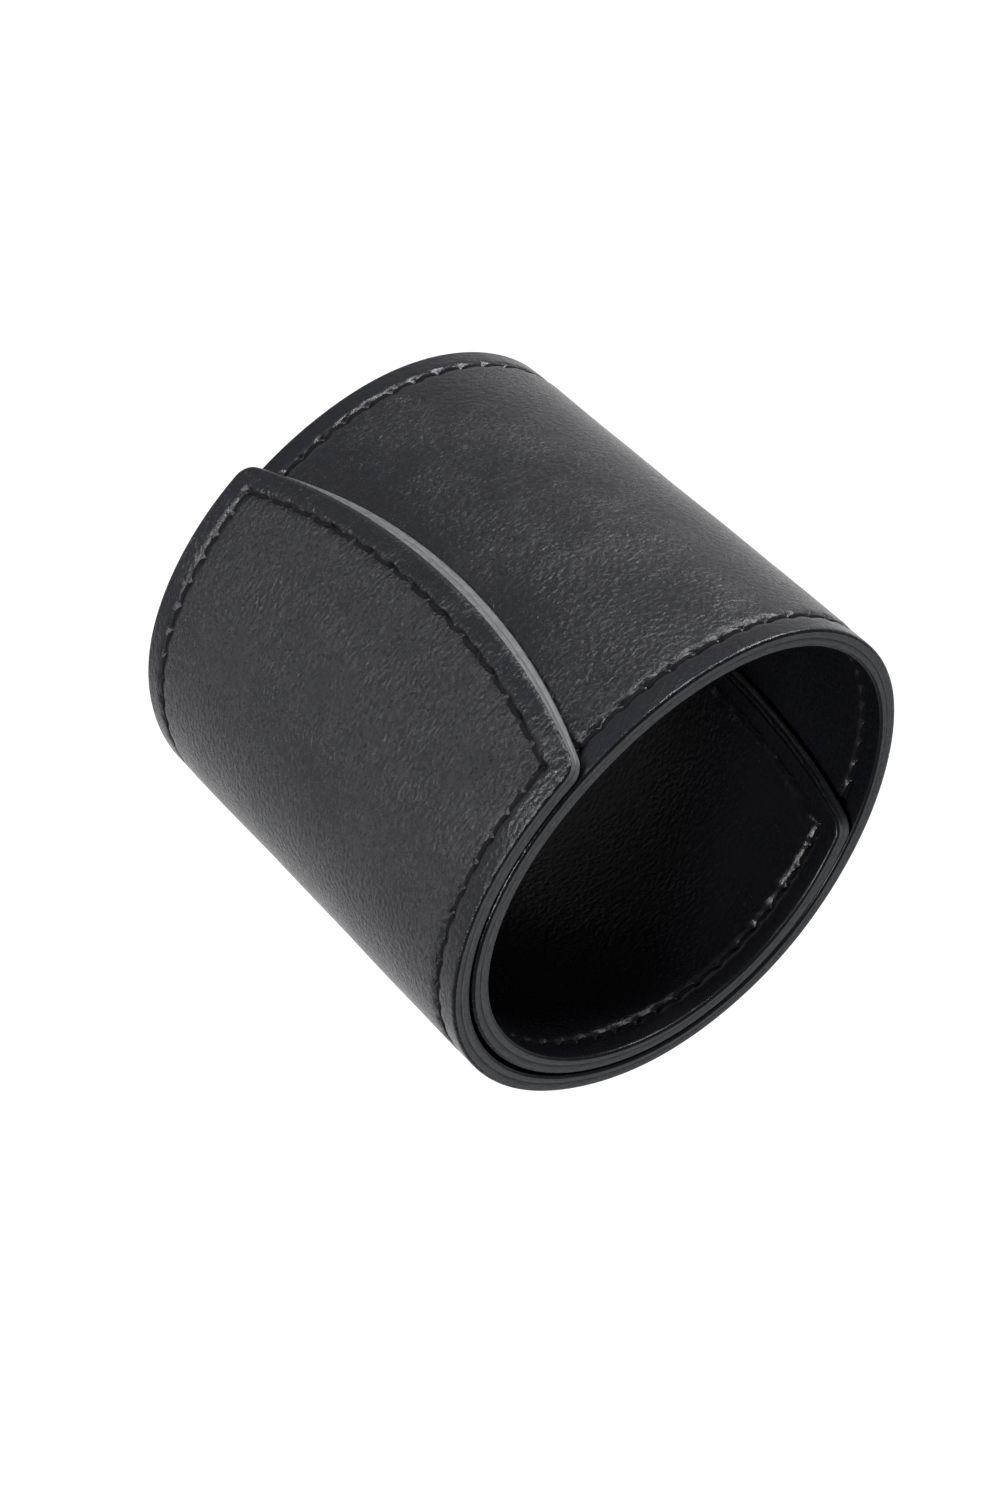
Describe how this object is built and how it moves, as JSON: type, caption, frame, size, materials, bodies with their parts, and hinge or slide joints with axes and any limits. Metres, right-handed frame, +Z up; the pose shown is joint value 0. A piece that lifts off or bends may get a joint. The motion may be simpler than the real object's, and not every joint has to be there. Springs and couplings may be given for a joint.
{
  "type": "leather dice cup",
  "caption": "Open wrap-around cup wall: a stitched two-ply leather band rolled one and a half turns, which unrolls.",
  "frame": {"origin": "centre of the footprint, on the surface that the lower rim stands on", "axes": "+Z up along the roll, -Y to the front where the outer flap ends, +X to the right as seen from the front"},
  "size_m": [0.0788, 0.0804, 0.075],
  "materials": {
    "cover_leather": "black full-grain leather, fine pebble grain, semi-gloss",
    "lining_leather": "smooth black lining leather, satin",
    "thread": "waxed black sewing thread",
    "magnet": "nickel-plated disc magnets"
  },
  "bodies": {
    "arc_01": {"cover_01": "cover_leather", "lining_01": "lining_leather", "stitching_01": "thread", "flap_magnets": "magnet"},
    "arc_02": {"cover_02": "cover_leather", "lining_02": "lining_leather", "stitching_02": "thread"},
    "arc_03": {"cover_03": "cover_leather", "lining_03": "lining_leather", "stitching_03": "thread"},
    "arc_04": {"cover_04": "cover_leather", "lining_04": "lining_leather", "stitching_04": "thread"},
    "arc_05": {"cover_05": "cover_leather", "lining_05": "lining_leather", "stitching_05": "thread"},
    "arc_06": {"cover_06": "cover_leather", "lining_06": "lining_leather", "stitching_06": "thread"},
    "arc_07": {"cover_07": "cover_leather", "lining_07": "lining_leather", "stitching_07": "thread"},
    "arc_08": {"cover_08": "cover_leather", "lining_08": "lining_leather", "stitching_08": "thread"},
    "arc_09": {"cover_09": "cover_leather", "lining_09": "lining_leather", "stitching_09": "thread"},
    "arc_10": {"cover_10": "cover_leather", "lining_10": "lining_leather", "stitching_10": "thread"},
    "arc_11": {"cover_11": "cover_leather", "lining_11": "lining_leather", "stitching_11": "thread"},
    "arc_12": {"cover_12": "cover_leather", "lining_12": "lining_leather", "stitching_12": "thread", "wall_magnets": "magnet"},
    "arc_13": {"cover_13": "cover_leather", "lining_13": "lining_leather", "stitching_13": "thread"},
    "arc_14": {"cover_14": "cover_leather", "lining_14": "lining_leather", "stitching_14": "thread"},
    "arc_15": {"cover_15": "cover_leather", "lining_15": "lining_leather", "stitching_15": "thread"},
    "arc_16": {"cover_16": "cover_leather", "lining_16": "lining_leather", "stitching_16": "thread"},
    "arc_17": {"cover_17": "cover_leather", "lining_17": "lining_leather", "stitching_17": "thread"},
    "arc_18": {"cover_18": "cover_leather", "lining_18": "lining_leather", "stitching_18": "thread"},
    "arc_19": {"cover_19": "cover_leather", "lining_19": "lining_leather", "stitching_19": "thread"}
  },
  "joints": [
    {"name": "unroll", "type": "hinge", "parent": "arc_10", "child": "arc_11", "pos_m": [-0.03228, -0.0209, 0.0375], "axis": [0, 0, -1], "range_deg": [0, 25]},
    {"name": "bend_01_02", "type": "hinge", "parent": "arc_02", "child": "arc_01", "pos_m": [0.01176, -0.03804, 0.0375], "axis": [0, 0, 1], "range_deg": [0, 25]},
    {"name": "bend_02_03", "type": "hinge", "parent": "arc_03", "child": "arc_02", "pos_m": [0.03016, -0.02536, 0.0375], "axis": [0, 0, 1], "range_deg": [0, 25]},
    {"name": "bend_03_04", "type": "hinge", "parent": "arc_04", "child": "arc_03", "pos_m": [0.03902, -0.00502, 0.0375], "axis": [0, 0, 1], "range_deg": [0, 25]},
    {"name": "bend_04_05", "type": "hinge", "parent": "arc_05", "child": "arc_04", "pos_m": [0.03584, 0.01677, 0.0375], "axis": [0, 0, 1], "range_deg": [0, 25]},
    {"name": "bend_05_06", "type": "hinge", "parent": "arc_06", "child": "arc_05", "pos_m": [0.02173, 0.03348, 0.0375], "axis": [0, 0, 1], "range_deg": [0, 25]},
    {"name": "bend_06_07", "type": "hinge", "parent": "arc_07", "child": "arc_06", "pos_m": [0.00109, 0.04018, 0.0375], "axis": [0, 0, 1], "range_deg": [0, 25]},
    {"name": "bend_07_08", "type": "hinge", "parent": "arc_08", "child": "arc_07", "pos_m": [-0.01982, 0.03501, 0.0375], "axis": [0, 0, 1], "range_deg": [0, 25]},
    {"name": "bend_08_09", "type": "hinge", "parent": "arc_09", "child": "arc_08", "pos_m": [-0.03475, 0.01969, 0.0375], "axis": [0, 0, 1], "range_deg": [0, 25]},
    {"name": "bend_09_10", "type": "hinge", "parent": "arc_10", "child": "arc_09", "pos_m": [-0.0393, -0.00104, 0.0375], "axis": [0, 0, 1], "range_deg": [0, 25]},
    {"name": "bend_11_12", "type": "hinge", "parent": "arc_11", "child": "arc_12", "pos_m": [-0.01597, -0.03396, 0.0375], "axis": [0, 0, -1], "range_deg": [0, 25]},
    {"name": "bend_12_13", "type": "hinge", "parent": "arc_12", "child": "arc_13", "pos_m": [0.00463, -0.03642, 0.0375], "axis": [0, 0, -1], "range_deg": [0, 25]},
    {"name": "bend_13_14", "type": "hinge", "parent": "arc_13", "child": "arc_14", "pos_m": [0.02328, -0.02771, 0.0375], "axis": [0, 0, -1], "range_deg": [0, 25]},
    {"name": "bend_14_15", "type": "hinge", "parent": "arc_14", "child": "arc_15", "pos_m": [0.03443, -0.01061, 0.0375], "axis": [0, 0, -1], "range_deg": [0, 25]},
    {"name": "bend_15_16", "type": "hinge", "parent": "arc_15", "child": "arc_16", "pos_m": [0.03487, 0.00965, 0.0375], "axis": [0, 0, -1], "range_deg": [0, 25]},
    {"name": "bend_16_17", "type": "hinge", "parent": "arc_16", "child": "arc_17", "pos_m": [0.02463, 0.02695, 0.0375], "axis": [0, 0, -1], "range_deg": [0, 25]},
    {"name": "bend_17_18", "type": "hinge", "parent": "arc_17", "child": "arc_18", "pos_m": [0.00695, 0.03616, 0.0375], "axis": [0, 0, -1], "range_deg": [0, 25]},
    {"name": "bend_18_19", "type": "hinge", "parent": "arc_18", "child": "arc_19", "pos_m": [-0.01277, 0.03467, 0.0375], "axis": [0, 0, -1], "range_deg": [0, 25]}
  ],
  "couplings": [
    {"joint": "bend_01_02", "follows": "unroll", "ratio": 1},
    {"joint": "bend_02_03", "follows": "unroll", "ratio": 1},
    {"joint": "bend_03_04", "follows": "unroll", "ratio": 1},
    {"joint": "bend_04_05", "follows": "unroll", "ratio": 1},
    {"joint": "bend_05_06", "follows": "unroll", "ratio": 1},
    {"joint": "bend_06_07", "follows": "unroll", "ratio": 1},
    {"joint": "bend_07_08", "follows": "unroll", "ratio": 1},
    {"joint": "bend_08_09", "follows": "unroll", "ratio": 1},
    {"joint": "bend_09_10", "follows": "unroll", "ratio": 1},
    {"joint": "bend_11_12", "follows": "unroll", "ratio": 1},
    {"joint": "bend_12_13", "follows": "unroll", "ratio": 1},
    {"joint": "bend_13_14", "follows": "unroll", "ratio": 1},
    {"joint": "bend_14_15", "follows": "unroll", "ratio": 1},
    {"joint": "bend_15_16", "follows": "unroll", "ratio": 1},
    {"joint": "bend_16_17", "follows": "unroll", "ratio": 1},
    {"joint": "bend_17_18", "follows": "unroll", "ratio": 1},
    {"joint": "bend_18_19", "follows": "unroll", "ratio": 1}
  ]
}
